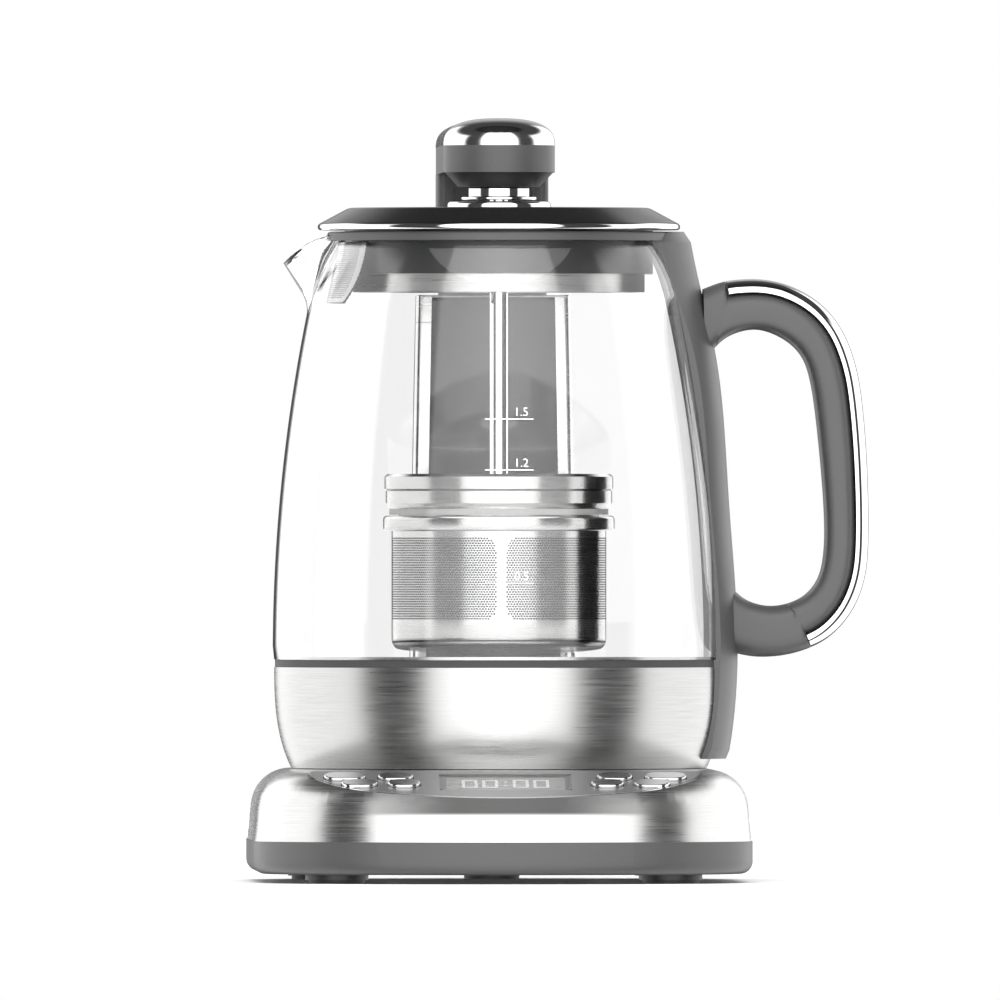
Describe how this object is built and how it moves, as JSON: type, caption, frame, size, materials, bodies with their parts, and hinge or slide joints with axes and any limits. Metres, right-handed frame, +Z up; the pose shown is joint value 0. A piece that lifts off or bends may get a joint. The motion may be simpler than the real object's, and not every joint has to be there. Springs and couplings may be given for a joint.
{
  "type": "automatic tea maker",
  "caption": "Automatic tea maker: glass jug on a powered base, with a motor column whose arm raises and lowers the tea basket through the lid.",
  "frame": {"origin": "centre of the outline box on the table; the jug's axis stands at x -21.6 mm, y -1.4 mm", "axes": "+Z up, +X towards the handle, -Y towards the control panel"},
  "size_m": [0.2202, 0.242, 0.2709],
  "materials": {
    "brushed_steel": "brushed stainless steel",
    "basket_steel": "satin stainless steel with fine holes",
    "chrome": "polished",
    "grey_plastic": "satin grey moulding",
    "dark_plastic": "dark moulding",
    "rubber": "dark grey rubber",
    "glass": "clear borosilicate glass",
    "display": "clear window over a grey display",
    "circuit_board": "green board",
    "brass": "turned",
    "machined_steel": "bright steel",
    "nylon": "natural nylon",
    "magnet": "coated magnet"
  },
  "bodies": {
    "base": {"base_tray": "grey_plastic", "base_cover": "brushed_steel", "foot_pads": "rubber", "base_screws": "machined_steel", "dock_plate": "grey_plastic", "base_connector": "dark_plastic", "power_board": "circuit_board", "cord_gland": "rubber", "control_panel": "grey_plastic", "display_window": "display", "control_board": "circuit_board", "column_shell": "brushed_steel", "column_front": "grey_plastic", "column_cap": "dark_plastic", "guide_rods": "machined_steel", "lift_bracket": "machined_steel", "screw_bushes": "brass", "lift_motor": "machined_steel"},
    "lift": {"carriage": "nylon", "lift_nut": "brass", "slider": "grey_plastic", "arm_body": "grey_plastic", "arm_cover": "chrome", "head_cone": "dark_plastic", "head_magnet": "magnet"},
    "screw": {"lead_screw": "machined_steel", "screw_gear": "nylon"},
    "rotor": {"motor_pinion": "nylon"},
    "jug": {"glass_body": "glass", "collar": "grey_plastic", "spout_strainer": "basket_steel", "jug_band": "brushed_steel", "glass_seal": "rubber", "heating_plate": "brushed_steel", "heating_element": "machined_steel", "temperature_probe": "machined_steel", "jug_connector": "dark_plastic", "jug_bottom_cover": "dark_plastic", "handle_plate": "grey_plastic", "handle_grip": "grey_plastic", "handle_trim": "chrome", "lid_cover": "brushed_steel", "lid_rim": "chrome", "lid_plug": "grey_plastic", "lid_seal": "rubber", "lid_lip": "brushed_steel", "lid_disc": "chrome"},
    "infuser": {"infuser_rod": "chrome", "rod_neck": "chrome", "infuser_lid": "basket_steel", "basket_seal": "rubber"},
    "basket": {"tea_basket": "basket_steel"},
    "key_1": {"button_1": "chrome"},
    "key_2": {"button_2": "chrome"},
    "key_3": {"button_3": "chrome"},
    "key_4": {"button_4": "chrome"},
    "key_5": {"button_5": "chrome"},
    "key_6": {"button_6": "chrome"},
    "key_7": {"button_7": "chrome"},
    "key_8": {"button_8": "chrome"}
  },
  "joints": [
    {"name": "lift_slide", "type": "slide", "parent": "base", "child": "lift", "axis": [0, 0, 1], "range_m": [0, 0.062]},
    {"name": "screw_spin", "type": "hinge", "parent": "base", "child": "screw", "pos_m": [-0.02162, 0.0996, 0], "axis": [0, 0, 1], "range_deg": [0, 1396]},
    {"name": "rotor_spin", "type": "hinge", "parent": "base", "child": "rotor", "pos_m": [-0.00542, 0.0996, 0], "axis": [0, 0, 1], "range_deg": [-3987, 0]},
    {"name": "jug_swivel", "type": "hinge", "parent": "base", "child": "jug", "pos_m": [-0.02162, -0.0014, 0], "axis": [0, 0, 1], "range_deg": [-235, 55]},
    {"name": "infuser_slide", "type": "slide", "parent": "jug", "child": "infuser", "axis": [0, 0, 1], "range_m": [0, 0.062]},
    {"name": "basket_twist", "type": "hinge", "parent": "infuser", "child": "basket", "pos_m": [-0.02162, -0.0014, 0], "axis": [0, 0, 1], "range_deg": [0, 35]},
    {"name": "key_1_press", "type": "slide", "parent": "base", "child": "key_1", "axis": [0, 0.2504, -0.9681], "range_m": [0, 0.0008], "stiffness_N_per_m": 400},
    {"name": "key_2_press", "type": "slide", "parent": "base", "child": "key_2", "axis": [0, 0.2504, -0.9681], "range_m": [0, 0.0008], "stiffness_N_per_m": 400},
    {"name": "key_3_press", "type": "slide", "parent": "base", "child": "key_3", "axis": [0, 0.2504, -0.9681], "range_m": [0, 0.0008], "stiffness_N_per_m": 400},
    {"name": "key_4_press", "type": "slide", "parent": "base", "child": "key_4", "axis": [0, 0.2504, -0.9681], "range_m": [0, 0.0008], "stiffness_N_per_m": 400},
    {"name": "key_5_press", "type": "slide", "parent": "base", "child": "key_5", "axis": [0, 0.2504, -0.9681], "range_m": [0, 0.0008], "stiffness_N_per_m": 400},
    {"name": "key_6_press", "type": "slide", "parent": "base", "child": "key_6", "axis": [0, 0.2504, -0.9681], "range_m": [0, 0.0008], "stiffness_N_per_m": 400},
    {"name": "key_7_press", "type": "slide", "parent": "base", "child": "key_7", "axis": [0, 0.2504, -0.9681], "range_m": [0, 0.0008], "stiffness_N_per_m": 400},
    {"name": "key_8_press", "type": "slide", "parent": "base", "child": "key_8", "axis": [0, 0.2504, -0.9681], "range_m": [0, 0.0008], "stiffness_N_per_m": 400}
  ],
  "couplings": [
    {"joint": "infuser_slide", "follows": "lift_slide", "ratio": 1},
    {"joint": "screw_spin", "follows": "lift_slide", "rad_per_m": 392.7},
    {"joint": "rotor_spin", "follows": "lift_slide", "rad_per_m": -1122}
  ]
}
